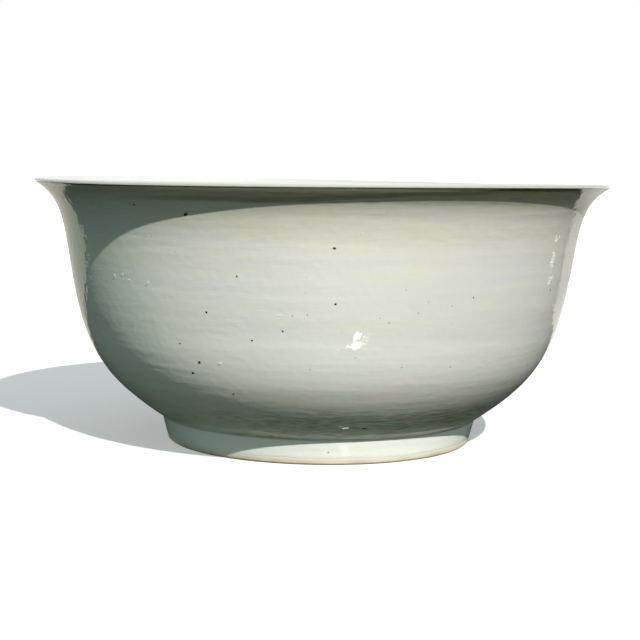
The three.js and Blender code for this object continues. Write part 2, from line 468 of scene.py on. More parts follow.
class Tree:
    """Adds nodes to a tree, each wired up as it is made."""

    def __init__(self, tree):
        self.tree = tree

    def link(self, source, target):
        self.tree.links.new(source, target)

    def fill(self, socket, value):
        """Links an input to a socket, or sets it to a value."""
        if isinstance(value, bpy.types.NodeSocket):
            self.link(value, socket)
        else:
            socket.default_value = value

    def add(self, kind, values=(), **settings):
        node = self.tree.nodes.new(kind)
        for name, value in settings.items():
            setattr(node, name, value)
        for name, value in values:
            self.fill(node.inputs[name], value)
        return node

    def group(self, group, values):
        """What a shader group puts out, placed here with its own values."""
        return self.add("ShaderNodeGroup", values.items(), node_tree=group).outputs

    def put_out(self, shader, kind="ShaderNodeOutputMaterial"):
        """Makes a shader what the material or the world shows."""
        self.link(shader.outputs[0], self.add(kind).inputs["Surface"])

    def math(self, operation, *values):
        return self.add("ShaderNodeMath", enumerate(values), operation=operation).outputs[0]

    def plus(self, first, second):
        return self.math("ADD", first, second)

    def minus(self, first, second):
        return self.math("SUBTRACT", first, second)

    def over(self, first, second):
        return self.math("DIVIDE", first, second)

    def times(self, product, *factors):
        for factor in factors:
            product = self.math("MULTIPLY", product, factor)
        return product

    def vector_math(self, operation, *values):
        return self.add("ShaderNodeVectorMath", enumerate(values), operation=operation)

    def vector(self, operation, *values):
        return self.vector_math(operation, *values).outputs["Vector"]

    def number(self, operation, *values):
        """The single number that some vector maths gives."""
        return self.vector_math(operation, *values).outputs["Value"]

    def scaled(self, vector, factor):
        values = ((0, vector), ("Scale", factor))
        return self.add("ShaderNodeVectorMath", values, operation="SCALE").outputs[0]

    def combine(self, x, y, z):
        return self.add("ShaderNodeCombineXYZ", enumerate((x, y, z))).outputs[0]

    def split(self, vector):
        return self.add("ShaderNodeSeparateXYZ", ((0, vector),)).outputs

    def object_place(self):
        return self.add("ShaderNodeTexCoord").outputs["Object"]

    def level_way(self, place):
        """The level direction from the axis to a place."""
        return self.vector("NORMALIZE", self.vector("MULTIPLY", place, (1.0, 1.0, 0.0)))

    def noise(self, vector, scale, detail=2.0, roughness=0.5):
        values = (("Vector", vector), ("Scale", scale), ("Detail", detail), ("Roughness", roughness))
        return self.add("ShaderNodeTexNoise", values).outputs[0]

    def cells(self, vector, scale):
        """How far a place is from the middle of its cell."""
        return self.add("ShaderNodeTexVoronoi", (("Vector", vector), ("Scale", scale))).outputs["Distance"]

    def swing(self, noise, reach):
        """A noise value, which seldom leaves the middle half of 0 to 1, as a distance to either side."""
        return self.times(self.minus(noise, 0.5), self.times(reach, 4.0))

    def ramp(self, value, start, end, low=0.0, high=1.0, interpolation="LINEAR"):
        """From low at the start to high at the end, and level beyond them."""
        values = (("Value", value), ("From Min", start), ("From Max", end), ("To Min", low), ("To Max", high))
        return self.add("ShaderNodeMapRange", values, interpolation_type=interpolation).outputs[0]

    def eased(self, value, start, end, low=0.0, high=1.0):
        """The same with both ends eased."""
        return self.ramp(value, start, end, low, high, "SMOOTHSTEP")

    def mixed(self, factor, low, high, blend="MIX"):
        """A colour between two others, each a socket or three linear values."""
        node = self.add("ShaderNodeMix", data_type="RGBA", blend_type=blend)
        inputs = {socket.identifier: socket for socket in node.inputs}
        self.fill(inputs["Factor_Float"], factor)
        for name, value in (("A_Color", low), ("B_Color", high)):
            self.fill(inputs[name], value if isinstance(value, bpy.types.NodeSocket) else (*value, 1.0))
        return next(socket for socket in node.outputs if socket.identifier == "Result_Color")

    def tinted(self, factor, base, part):
        """A colour brought down to a part of itself, as far as the factor says."""
        return self.mixed(factor, base, part, "MULTIPLY")


class Group(Tree):
    """A node group. Its inputs and outputs are rows of a kind of socket and the names of that kind."""

    def __init__(self, name, kind, inputs, outputs):
        super().__init__(bpy.data.node_groups.new(name, kind))
        for direction, rows in (("INPUT", inputs), ("OUTPUT", outputs)):
            for socket_kind, *names in rows:
                for socket_name in names:
                    self.tree.interface.new_socket(name=socket_name, in_out=direction,
                                                   socket_type="NodeSocket" + socket_kind)
        self.given = self.tree.nodes.new("NodeGroupInput").outputs
        self.result = self.tree.nodes.new("NodeGroupOutput").inputs

    def named(self, name, kind="FLOAT"):
        return self.add("GeometryNodeInputNamedAttribute", (("Name", name),), data_type=kind).outputs[0]

    def stored(self, geometry, name, value):
        values = (("Geometry", geometry), ("Name", name), ("Value", value))
        node = self.add("GeometryNodeStoreNamedAttribute", values, data_type="FLOAT", domain="POINT")
        return node.outputs[0]

    def finish(self, geometry):
        """Smooths the geometry, makes it real, gives it its material and puts it out."""
        for kind in ("GeometryNodeSetShadeSmooth", "GeometryNodeRealizeInstances"):
            geometry = self.add(kind, (("Geometry", geometry),)).outputs[0]
        values = (("Geometry", geometry), ("Material", self.given["Material"]))
        self.link(self.add("GeometryNodeSetMaterial", values).outputs[0], self.result[0])
        return self.tree


# Marks fade in over this radius round the axis and fade out this far below the rim.
MARKED_RADIUS = 30 * MM
MARKED_BELOW_RIM = 16 * MM
# The wall's sway sets in between these heights and fades out this far below the rim.
SWAY_HEIGHTS = (20 * MM, 70 * MM)
SWAY_BELOW_RIM = 50 * MM
# How often the marks and the wiped line swing round the bowl, and how far from the line its swing is felt.
RING_TURNS = 1.3
STREAK_TURNS = 6.0
WIPING_TURNS = 7.0
WIPED_REACH = 2.5 * MM
# How far apart the noise of two seeds lies.
SEED_STEP = 3.7


def turning_tree():
    """Turns an outline round the axis, with throwing rings, turning marks, sway and the rim's warp."""
    inputs = (
        ("Geometry", "Outline"),
        ("Int", "Facets"),
        ("Float", "Ring Spacing", "Ring Depth", "Streak Spacing", "Streak Depth", "Sway", "Sway Length"),
        ("Float", "Rim Warp", "Warp Bearing", "Rim Height", "Wiped Line", "Wiped Wander", "Seed"),
        ("Material", "Material"),
    )
    t = Group("turned_on_the_wheel", "GeometryNodeTree", inputs, (("Geometry", "Geometry"),))
    given = t.given

    size = t.add("GeometryNodeAttributeDomainSize", ((0, given["Outline"]),), component="MESH")
    stations = size.outputs["Point Count"]
    columns = t.plus(given["Facets"], 1)
    grid = t.add("GeometryNodeMeshGrid", (("Vertices X", columns), ("Vertices Y", stations)))
    index = t.add("GeometryNodeInputIndex").outputs[0]
    station = t.math("MODULO", index, stations)
    bearing = t.times(t.over(t.math("FLOOR", t.over(index, stations)), given["Facets"]), math.tau)

    def sampled(field, kind):
        values = ((0, given["Outline"]), ("Value", field), ("Index", station))
        return t.add("GeometryNodeSampleIndex", values, data_type=kind, domain="POINT").outputs[0]

    at = t.split(sampled(t.add("GeometryNodeInputPosition").outputs[0], "FLOAT_VECTOR"))
    out = t.split(sampled(t.named("out", "FLOAT_VECTOR"), "FLOAT_VECTOR"))
    along = sampled(t.named("along"), "FLOAT")
    radius, height = at[0], at[2]
    sine, cosine = t.math("SINE", bearing), t.math("COSINE", bearing)
    radial = t.combine(sine, t.times(cosine, -1.0), 0.0)
    place = t.vector("ADD", t.scaled(radial, radius), t.combine(0.0, 0.0, height))

    # Rings and streaks are long round the bowl and narrow across it, so the noise is stretched round.
    seeded = t.times(given["Seed"], SEED_STEP)

    def marks(spacing, depth, turns, detail):
        across = t.plus(t.over(along, spacing), seeded)
        field = t.combine(t.times(sine, turns), t.times(cosine, turns), across)
        return t.swing(t.noise(field, 1.0, detail, 0.55), depth)

    rings = marks(given["Ring Spacing"], given["Ring Depth"], RING_TURNS, 1.0)
    streaks = marks(given["Streak Spacing"], given["Streak Depth"], STREAK_TURNS, 2.0)
    sway_scale = t.over(1.0, given["Sway Length"])
    sway_field = t.vector("ADD", t.scaled(place, sway_scale), t.combine(seeded, 0.0, 0.0))
    sway = t.swing(t.noise(sway_field, 1.0, 1.0), given["Sway"])

    # The middle of the floor, the foot and the lip stay true.
    centred = t.eased(radius, 0.0, MARKED_RADIUS)
    below_rim = t.minus(given["Rim Height"], height)
    smooth_lip = t.eased(below_rim, 0.0, MARKED_BELOW_RIM)
    loose = t.times(t.eased(height, *SWAY_HEIGHTS), t.eased(below_rim, 0.0, SWAY_BELOW_RIM))
    marked = t.times(t.plus(rings, streaks), t.times(centred, smooth_lip))
    push = t.plus(marked, t.times(sway, loose))
    facing = t.vector("ADD", t.scaled(radial, out[0]), t.combine(0.0, 0.0, out[2]))
    pushed = t.vector("ADD", place, t.scaled(facing, push))

    # The rim dips at the warp's bearing and opposite it, more the higher up the bowl.
    rise = t.math("POWER", t.over(height, given["Rim Height"]), 2.0)
    wave = t.math("COSINE", t.times(t.minus(bearing, given["Warp Bearing"]), 2.0))
    dip = t.times(given["Rim Warp"], rise, t.plus(wave, 1.0), centred)

    # The line to which the foot is wiped bare wanders a little.
    off_line = t.math("ABSOLUTE", t.minus(height, given["Wiped Line"]))
    wiping_field = t.combine(t.times(sine, WIPING_TURNS), t.times(cosine, WIPING_TURNS), seeded)
    wiping = t.swing(t.noise(wiping_field, 1.0, 3.0), given["Wiped Wander"])
    wander = t.times(wiping, t.eased(off_line, WIPED_REACH, 0.0))
    warped = t.vector("ADD", pushed, t.combine(0.0, 0.0, t.minus(wander, dip)))

    shaped = t.add("GeometryNodeSetPosition", (("Geometry", grid.outputs["Mesh"]), ("Position", warped)))
    line = t.stored(shaped.outputs[0], "along", along)
    welded = t.add("GeometryNodeMergeByDistance", (("Geometry", line), ("Distance", 1e-6)))
    return t.finish(welded.outputs[0])


# The higher this power, the more of the random grains are small.
SMALLNESS = 2.5


def grains_tree():
    """Sets a grain on each given point of a surface, and on random points where no grain is given."""
    inputs = (
        ("Geometry", "Points"),
        ("Object", "Surface"),
        ("Float", "Density", "Least", "Most", "Flatness", "Seen Bearing", "Shown Side"),
        ("Int", "Seed"),
        ("Material", "Material"),
    )
    t = Group("grains_on_a_surface", "GeometryNodeTree", inputs, (("Geometry", "Geometry"),))
    given = t.given
    surface = t.add("GeometryNodeObjectInfo", (("Object", given["Surface"]),)).outputs["Geometry"]
    normal = t.add("GeometryNodeInputNormal").outputs[0]

    # Random grains keep clear of the bearings where the given points are.
    place = t.split(t.add("GeometryNodeInputPosition").outputs[0])
    bearing = t.math("ABSOLUTE", t.math("ARCTAN2", place[0], t.times(place[1], -1.0)))
    density = t.times(given["Density"], t.math("GREATER_THAN", bearing, given["Seen Bearing"]))
    shown = t.math("GREATER_THAN", t.times(t.split(normal)[2], given["Shown Side"]), 0.0)
    values = (("Mesh", surface), ("Selection", shown), ("Density", density), ("Seed", given["Seed"]))
    strewn = t.add("GeometryNodeDistributePointsOnFaces", values).outputs["Points"]
    chance = t.add("FunctionNodeRandomValue", (("Seed", given["Seed"]),), data_type="FLOAT").outputs[1]
    spread = t.minus(given["Most"], given["Least"])
    drawn = t.plus(given["Least"], t.times(t.math("POWER", chance, SMALLNESS), spread))
    placed = t.add("GeometryNodeMeshToPoints", (("Mesh", given["Points"]),)).outputs[0]
    joined = t.add("GeometryNodeJoinGeometry")
    t.link(placed, joined.inputs[0])
    t.link(t.stored(strewn, "width", drawn), joined.inputs[0])

    near = t.add("GeometryNodeProximity", ((0, surface),), target_element="FACES").outputs["Position"]
    values = (("Geometry", joined.outputs[0]), ("Position", near))
    snapped = t.add("GeometryNodeSetPosition", values).outputs[0]
    facing = t.add("GeometryNodeSampleNearestSurface", ((0, surface), ("Value", normal)),
                   data_type="FLOAT_VECTOR").outputs[0]
    upright = t.add("FunctionNodeAlignRotationToVector", (("Vector", facing),), axis="Z").outputs[0]
    width = t.named("width")
    longest = t.math("MAXIMUM", t.named("length"), width)
    scale = t.combine(longest, width, t.times(width, given["Flatness"]))
    grain = t.add("GeometryNodeMeshIcoSphere", (("Radius", 0.5), ("Subdivisions", 2))).outputs["Mesh"]
    values = (("Points", snapped), ("Instance", grain), ("Rotation", upright), ("Scale", scale))
    return t.finish(t.add("GeometryNodeInstanceOnPoints", values).outputs[0])


# Shader node groups.


def banding_group():
    """Soft bands round the bowl, 0 to 1, that follow the surface's line, by its along attribute."""
    inputs = (("Float", "Spacing", "Turns", "Contrast", "Offset"),)
    t = Group("glaze_bands", "ShaderNodeTree", inputs, (("Float", "Band"),))
    along = t.add("ShaderNodeAttribute", attribute_name="along").outputs["Fac"]
    round_axis = t.scaled(t.level_way(t.object_place()), t.given["Turns"])
    across = t.plus(t.over(along, t.given["Spacing"]), t.given["Offset"])
    noise = t.noise(t.vector("ADD", round_axis, t.combine(0.0, 0.0, across)), 1.0)
    raised = t.plus(t.times(t.minus(noise, 0.5), t.given["Contrast"]), 0.5)
    t.link(t.add("ShaderNodeClamp", (("Value", raised),)).outputs[0], t.result[0])
    return t.tree


# How many lumps the orange peel has to a metre, with their share of its height.
PEEL_LUMPS = ((210.0, 0.85), (460.0, 0.15))


def dots(t, place, scale, edge, patch_scale, patch_detail, patch_least):
    """Round dots, so many to a metre, with 1 in their middle, and only in patches of the surface."""
    patches = t.math("GREATER_THAN", t.noise(place, patch_scale, patch_detail), patch_least)
    return t.times(t.ramp(t.cells(place, scale), *edge, 1.0, 0.0), patches)


def fired_surface_group():
    """Height of orange peel and pinholes in metres, and faint iron dust, over any glazed surface."""
    inputs = (("Float", "Peel", "Pinholes", "Dust"),)
    t = Group("fired_glaze_surface", "ShaderNodeTree", inputs, (("Float", "Height", "Dust"),))
    place = t.object_place()
    coarse, fine = (t.times(t.noise(place, scale, 0.0), part) for scale, part in PEEL_LUMPS)
    peel = t.times(t.plus(coarse, fine), t.given["Peel"])
    pinholes = dots(t, place, 130.0, (0.03, 0.09), patch_scale=60.0, patch_detail=2.0, patch_least=0.63)
    grains = dots(t, place, 210.0, (0.05, 0.13), patch_scale=85.0, patch_detail=3.0, patch_least=0.62)
    t.link(t.minus(peel, t.times(pinholes, t.given["Pinholes"])), t.result["Height"])
    t.link(t.times(grains, t.given["Dust"]), t.result["Dust"])
    return t.tree


def group_named(name, build):
    return bpy.data.node_groups.get(name) or build()


# Materials.


def blank_material(name, kind=Tree, *details):
    """A material without nodes, and its tree to fill."""
    made = bpy.data.materials.new(name)
    made.use_nodes = True
    made.node_tree.nodes.clear()
    return made, kind(made.node_tree, *details)


def dress(t, *values):
    """Gives the material one Principled shader with these inputs."""
    t.put_out(t.add("ShaderNodeBsdfPrincipled", values))


def bumped(t, height, strength, distance):
    values = (("Height", height), ("Strength", strength), ("Distance", distance))
    return t.add("ShaderNodeBump", values).outputs[0]


# How thick the glaze lies by height in millimetres: 0 is thin, 0.5 is an even coat and 1 is pooled. On the
# outside these stops also paint light and shade: lighter on the lower belly and the foot, in place of light
# thrown up from below, and darker above the crease, under the belly and under the lip, where shade falls.
OUTSIDE_COAT_AND_SHADE = (
    (0, 0.0), (16.9, 0.04), (18.4, 0.95), (19.6, 0.9), (21, 0.7), (24, 0.64), (29, 0.78), (36, 0.78),
    (44, 0.6), (54, 0.26), (68, 0.04), (86, 0.14), (100, 0.4), (125, 0.46), (145, 0.53), (158, 0.58),
    (176.5, 0.56), (180, 0.74), (184, 0.8), (192, 0.7),
)
INSIDE_COAT = ((0, 0.9), (19, 1.0), (21, 0.85), (30, 0.55), (90, 0.5), (192, 0.5))
LIP_COAT = ((0, 0.5), (100, 0.5), (192, 0.5))
EVEN_COAT = 0.5

# Bands in the glaze: the width of one, how often they swing round the bowl, their contrast, and the offset of
# their noise.
BROAD_BANDS = {"Spacing": 0.017, "Turns": 2.2, "Contrast": 2.6, "Offset": 4.0}
NARROW_BANDS = {"Spacing": 0.0042, "Turns": 5.0, "Contrast": 2.2, "Offset": 9.0}
BRUSH_RINGS = {"Spacing": 0.0016, "Turns": 14.0, "Contrast": 2.0, "Offset": 2.0}
MOTTLES = {"Spacing": 0.009, "Turns": 7.0, "Contrast": 3.4, "Offset": 6.0}
BROAD_SHARE = 0.7
BRUSH_SHARE = 0.3

# Each pair below is where something in the glaze begins and ends. A side is -1 opposite the darker side's
# bearing and 1 at it. These sides paint light and shade: the coat is thinner and lighter on the left and
# darker on the right, and the shaded left of the outside takes a teal tint.
LIGHTER_SIDE = (-0.7, 0.1)
LIGHTER_SIDE_COAT = 0.66
DARKER_SIDE = (0.1, 1.0)
TEAL_SHADE_SIDE = (-0.65, -0.25)
ROUGH_SIDE = (-0.95, -0.65)
ROUGH_SIDE_PEEL = 2.2
# Heights above the table, of the brush strokes under the belly, of the painted darker side and of the wiped
# edge.
STROKES_BOTTOM = (17.5 * MM, 19.5 * MM)
STROKES_TOP = (30 * MM, 85 * MM)
DARKER_SIDE_HEIGHTS = (18 * MM, 30 * MM)
WIPED_EDGE = (4.9 * MM, 5.7 * MM)
# How unevenly the brush lays the glaze anywhere, and how much more so in those strokes.
BRUSHING = 0.2
STROKE_BRUSHING = 0.34
# Distances down the wall from the lip's edge, of two stretches of painted olive shade with their strengths,
# and of the painted dark line at the edge.
OLIVES = (((14 * MM, 4 * MM), 0.74), ((70 * MM, 26 * MM), 0.26))
LIP_LINE = (1.9 * MM, 0.9 * MM)
LIP_BLEND = 0.25 * MM
# The painted line is wider by so much on these sides, towards the side painted darker.
WIDE_LINE_SIDE = (0.3, 0.6)
WIDER_LINE = 2 * MM
# How far below the edge the middle of the painted shade band lies, from side to side, and how far from there
# it reaches.
SHADE_BAND_SIDE = (0.1, 0.75)
SHADE_BAND_DROP = (12.6 * MM, 3.6 * MM)
SHADE_BAND_WANDER = 1 * MM
SHADE_BAND_REACH = (1.3 * MM, 2.9 * MM)
SHADE_BAND_FADE_SIDE = (-0.6, -0.2)
# How many clouds there are to a metre in the height of the painted shade band and in the gloss, and how far
# the gloss goes.
SHADE_BAND_CLOUDS = 16.0
GLOSS_CLOUDS = 40.0
GLOSSIER = 0.01
DULLER = 0.02
# The middle part of a noise that is taken as its whole range.
CLOUDY = (0.3, 0.7)
REFRACTION = 1.5


class GlazeTree(Tree):
    """A glaze's tree, which knows the height of a point, its side and how far along the glazed line it is."""

    def __init__(self, tree, scene):
        super().__init__(tree)
        self.finish = scene.glaze_finish
        self.place = self.object_place()
        self.height = self.split(self.place)[2]
        bearing = self.finish.darker_side_bearing
        darker_side_way = (math.sin(bearing), -math.cos(bearing), 0.0)
        self.side = self.number("DOT_PRODUCT", self.level_way(self.place), darker_side_way)
        self.along = self.add("ShaderNodeAttribute", attribute_name="along").outputs["Fac"]
        self.lip_edge = glazed_line(scene)["lip"][1].along

    def thickness(self, stops, rim_height):
        """The coat's thickness, eased from each stop to the next, and thinner on the side away from the
        darker bearing, which paints that side lighter.
        """
        node = self.add("ShaderNodeValToRGB", (("Fac", self.over(self.height, rim_height)),))
        ramp = node.color_ramp
        ramp.interpolation = "EASE"
        for height, _ in stops[1:-1]:
            ramp.elements.new(min(1.0, height * MM / rim_height))
        for element, (_, thickness) in zip(ramp.elements, stops):
            element.color = (thickness, thickness, thickness, 1.0)
        return self.times(node.outputs["Color"], self.eased(self.side, *LIGHTER_SIDE, LIGHTER_SIDE_COAT, 1.0))

    def with_painted_sides(self, laid, strokes):
        """Painted shade: darker on the side at the darker bearing, and on the outside a teal tint on the
        shaded side away from it.
        """
        deep = self.times(self.eased(self.side, *DARKER_SIDE), self.eased(self.height, *DARKER_SIDE_HEIGHTS))
        green = self.times(self.eased(self.side, *TEAL_SHADE_SIDE, 1.0, 0.0), strokes)
        laid = self.tinted(deep, laid, self.finish.darker_side)
        return self.tinted(green, laid, self.finish.teal_shade_side)

    def to_edge(self, along, reach, high=1.0):
        """Rises towards the lip's edge between two distances from it."""
        start, end = reach
        return self.eased(along, self.lip_edge - start, self.lip_edge - end, 0.0, high)

    def with_painted_lip_shade(self, laid):
        """Painted shade under the lip: an olive tint under the lip's edge, a dark line at the edge and a
        darker soft band below it.
        """
        edge = self.lip_edge
        outside = self.eased(self.along, edge, edge + LIP_BLEND, 1.0, 0.0)
        olive = self.plus(*(self.to_edge(self.along, reach, strength) for reach, strength in OLIVES))
        laid = self.tinted(self.times(outside, olive), laid, self.finish.under_lip)

        wider = self.eased(self.side, *WIDE_LINE_SIDE, 0.0, WIDER_LINE)
        line = self.times(outside, self.to_edge(self.plus(self.along, wider), LIP_LINE))
        laid = self.tinted(line, laid, self.finish.lip_edge_shade)

        # The painted shade band lies lower on some sides, wanders a little, and fades out on the side away
        # from the darker bearing.
        low, high = SHADE_BAND_DROP
        hang = self.eased(self.side, *SHADE_BAND_SIDE, edge - low, edge - high)
        cloud = self.noise(self.place, SHADE_BAND_CLOUDS, 1.0)
        wander = self.eased(cloud, *CLOUDY, -SHADE_BAND_WANDER, SHADE_BAND_WANDER)
        off_shade_band = self.math("ABSOLUTE", self.minus(self.along, self.plus(hang, wander)))
        roll = self.times(outside, self.eased(off_shade_band, *SHADE_BAND_REACH, 1.0, 0.0),
                          self.eased(self.side, *SHADE_BAND_FADE_SIDE))
        return self.tinted(roll, laid, self.finish.lip_shade_band)


def glaze_material(name, scene, body_colours, pooled, stops, strokes=1.0):
    """Pale celadon: banded, whiter where it runs thin and where light is painted in, greener and darker where
    it pools and where shade is painted in, glossy and a little pocked.
    """
    finish = scene.glaze_finish
    made, t = blank_material(name, GlazeTree, scene)
    bands = group_named("glaze_bands", banding_group)
    broad, narrow, brushed, mottled = (
        t.group(bands, values)[0] for values in (BROAD_BANDS, NARROW_BANDS, BRUSH_RINGS, MOTTLES)
    )
    surface = t.group(group_named("fired_glaze_surface", fired_surface_group),
                      {"Peel": finish.peel_depth, "Pinholes": finish.pinhole_depth, "Dust": finish.dustiness})

    # Under the belly the brush shows more, in longer strokes of greener and greyer glaze.
    low = t.times(t.eased(t.height, *STROKES_TOP, 1.0, 0.0), strokes, t.eased(t.height, *STROKES_BOTTOM))
    uneven = t.times(t.minus(brushed, 0.5), t.plus(t.times(low, STROKE_BRUSHING), BRUSHING))
    coat = t.thickness(stops, scene.bowl_shape.height)
    coat = t.plus(coat, t.times(uneven, coat))
    body = t.mixed(t.plus(t.times(broad, BROAD_SHARE), t.times(narrow, 1 - BROAD_SHARE)), *body_colours)
    # A thin coat takes the thin tone and a deep coat the pooled tone; on the outside this paints light on the
    # lower belly and the foot, and shade in the crease and under the lip.
    laid = t.mixed(t.eased(coat, 0.0, EVEN_COAT), finish.thin, body)
    laid = t.mixed(t.eased(coat, EVEN_COAT, 1.0), laid, pooled)
    laid = t.tinted(low, laid, t.mixed(mottled, finish.mossy, finish.rosy))
    # Painted shade on the sides, and painted shade under the lip.
    laid = t.with_painted_lip_shade(t.with_painted_sides(laid, strokes))
    laid = t.mixed(t.eased(t.height, *WIPED_EDGE, 1.0, 0.0), laid, finish.wiped)

    rings = t.times(t.plus(narrow, t.times(brushed, BRUSH_SHARE)), finish.brush_depth)
    peel = t.times(surface["Height"], t.eased(t.side, *ROUGH_SIDE, ROUGH_SIDE_PEEL, 1.0))
    cloud = t.noise(t.place, GLOSS_CLOUDS, 3.0)
    dress(t, ("Base Color", t.mixed(surface["Dust"], laid, finish.dust)),
          ("Roughness", t.eased(cloud, *CLOUDY, finish.gloss - GLOSSIER, finish.gloss + DULLER)),
          ("Normal", bumped(t, t.plus(peel, rings), 1.0, 1.0)),
          ("IOR", REFRACTION), ("Specular IOR Level", finish.mirror))
    return made


def outside_glaze(name, scene):
    finish = scene.glaze_finish
    return glaze_material(name, scene, (finish.cool, finish.warm), finish.pooled, OUTSIDE_COAT_AND_SHADE)


def lip_glaze(name, scene):
    finish = scene.glaze_finish
    return glaze_material(name, scene, (finish.lip, finish.lip), finish.lip, LIP_COAT, 0.0)


def inside_glaze(name, scene):
    finish = scene.glaze_finish
    return glaze_material(name, scene, (finish.inside, finish.inside), finish.inside_pooled, INSIDE_COAT, 0.0)


# Heights above the table between which bare clay keeps a wash of glaze, and below which it is darker towards
# the standing edge.
WASHED = (2.6 * MM, 4.6 * MM)
DARKER_EDGE_HEIGHTS = (0.2 * MM, 1 * MM)
EDGE_DARKENING = 0.35
# How many toasted patches, specks of grit and grains the clay has to a metre, and the depth of the grain.
TOASTED_PATCHES = 45.0
GRIT = 620.0
CLAY_GRAIN = 1600.0
GRAIN_DEPTH = 0.2 * MM
MATT = 0.88


def bare_clay_material(name, scene):
    """Unglazed fired clay: gritty and matt, toasted in places and darker towards the standing edge."""
    finish = scene.bare_clay_finish
    made, t = blank_material(name)
    place = t.object_place()
    height = t.split(place)[2]
    patches = t.eased(t.noise(place, TOASTED_PATCHES, 4.0), 0.35, 0.65)
    speckle = t.times(t.eased(t.cells(place, GRIT), 0.06, 0.16, 1.0, 0.0), 0.5)
    body = t.mixed(speckle, t.mixed(patches, finish.pale, finish.toasted), finish.dark_clay)
    body = t.mixed(t.eased(height, *WASHED), body, finish.washed)
    body = t.mixed(t.times(t.eased(height, *DARKER_EDGE_HEIGHTS, 1.0, 0.0), EDGE_DARKENING), body, finish.dark_clay)
    grain = bumped(t, t.noise(place, CLAY_GRAIN, 3.0), 0.5, GRAIN_DEPTH)
    dress(t, ("Base Color", body), ("Normal", grain), ("Roughness", MATT))
    return made


def speck_material(name, scene):
    """Burnt iron, nearly black and half glossy, browner at some specks than at others."""
    specks = scene.iron_specks
    made, t = blank_material(name)
    cloud = t.eased(t.noise(t.object_place(), 60.0), 0.45, 0.75)
    dress(t, ("Base Color", t.mixed(cloud, specks.dark, specks.brown)), ("Roughness", 0.45))
    return made


def material_named(name, build, scene):
    return bpy.data.materials.get(name) or build(name, scene)


# Pieces.


def set_inputs(modifier, values):
    """Sets a node modifier's inputs, each by its socket's identifier."""
    sockets = {
        item.name: item.identifier
        for item in modifier.node_group.interface.items_tree
        if item.item_type == "SOCKET" and item.in_out == "INPUT"
    }
    for name, value in values.items():
        modifier[sockets[name]] = value


def plain_object(name, source, group, values):
    """An object whose mesh is what a geometry node tree makes of a source mesh."""
    made = bpy.data.objects.new(name, source)
    bpy.context.scene.collection.objects.link(made)
    modifier = made.modifiers.new("nodes", "NODES")
    modifier.node_group = group
    set_inputs(modifier, values)
    depsgraph = bpy.context.evaluated_depsgraph_get()
    mesh = bpy.data.meshes.new_from_object(made.evaluated_get(depsgraph), depsgraph=depsgraph)
    made.modifiers.clear()
    made.data = mesh
    mesh.name = name
    mesh.materials.clear()
    mesh.materials.append(values["Material"])
    return made


def loose_points(name, places, attributes):
    """Loose vertices. Each attribute is given as its name, its kind and its value at every vertex."""
    mesh = bpy.data.meshes.new(name)
    mesh.from_pydata(places, [], [])
    for key, kind, values in attributes:
        data = mesh.attributes.new(key, kind, "POINT").data
        member = "vector" if kind == "FLOAT_VECTOR" else "value"
        for i, value in enumerate(values):
            setattr(data[i], member, value)
    return mesh


def upright_point(flat):
    """A place or direction of an outline on the XZ plane."""
    return (flat.x, 0.0, flat.y)


def turned_piece(scene, name, loop, material, marked=1.0, wiped_line=None):
    """A piece turned from its closed section. Marked is how much of the throwing marks it takes."""
    marks = scene.throwing_marks
    foot = scene.foot_shape
    values = {
        "Facets": scene.bowl_shape.facets,
        "Ring Spacing": marks.ring_spacing,
        "Ring Depth": marks.ring_depth * marked,
        "Streak Spacing": marks.streak_spacing,
        "Streak Depth": marks.streak_depth * marked,
        "Sway": marks.sway,
        "Sway Length": marks.sway_length,
        "Rim Warp": marks.rim_warp,
        "Warp Bearing": marks.warp_bearing,
        "Rim Height": scene.bowl_shape.height,
        "Wiped Line": foot.glaze_line if wiped_line is None else wiped_line,
        "Wiped Wander": foot.glaze_line_wander,
        "Seed": float(marks.seed),
        "Material": material,
    }
    outline = loose_points(name + "_outline", [upright_point(spot.at) for spot in loop], (
        ("out", "FLOAT_VECTOR", [upright_point(spot.out) for spot in loop]),
        ("along", "FLOAT", [spot.along for spot in loop]),
    ))
    made = plain_object(name, outline, group_named("turned_on_the_wheel", turning_tree), values)
    made.data.set_sharp_from_angle(angle=SHARP_ANGLE)
    return made


def settle(piece, slot, *nodes):
    """Rides a finished piece on the bowl, and lets it stand for its CAD nodes."""
    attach(piece, BODY)
    if nodes:
        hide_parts(*nodes)


class BOWL_OT_outer_coat(Operator):
    """Turn the coat on the outside, from the crease to the lip"""

    bl_idname = "bowl.outer_coat"
    bl_label = "Outside glaze"
    bl_options = {"REGISTER", "UNDO"}

    def execute(self, context):
        scene = context.scene
        glaze = material_named("fired_celadon", outside_glaze, scene)
        loop = closed(coat_loop(glazed_line(scene)["outer"]))
        settle(turned_piece(scene, "outside_coat", loop, glaze), "celadon_glaze", "outer_glaze")
        return {"FINISHED"}


class BOWL_OT_foot_coat(Operator):
    """Turn the coat on the foot's outside, down to the wiped glaze line"""

    bl_idname = "bowl.foot_coat"
    bl_label = "Foot glaze"
    bl_options = {"REGISTER", "UNDO"}

    def execute(self, context):
        scene = context.scene
        foot = scene.foot_shape
        face = glazed_line(scene)["foot"]
        edge = []
        for i in range(TAPER_STEPS):
            rise = i / TAPER_STEPS
            depth = foot.bare_depth * (1 + math.cos(math.pi * rise)) / 2
            edge.append(Spot(foot_face(foot, foot.glaze_line + foot.taper * rise, depth), face_out(foot)))
        shown = edge + [spot for spot in face if spot.at.y > foot.glaze_line + foot.taper]
        hidden = [spot.under(GLAZE) for spot in (face[-1], face[FACE_STEPS // 2], face[0])]
        glaze = material_named("fired_celadon", outside_glaze, scene)
        settle(turned_piece(scene, "foot_coat", closed(shown + hidden), glaze), "celadon_glaze", "foot_glaze")
        return {"FINISHED"}


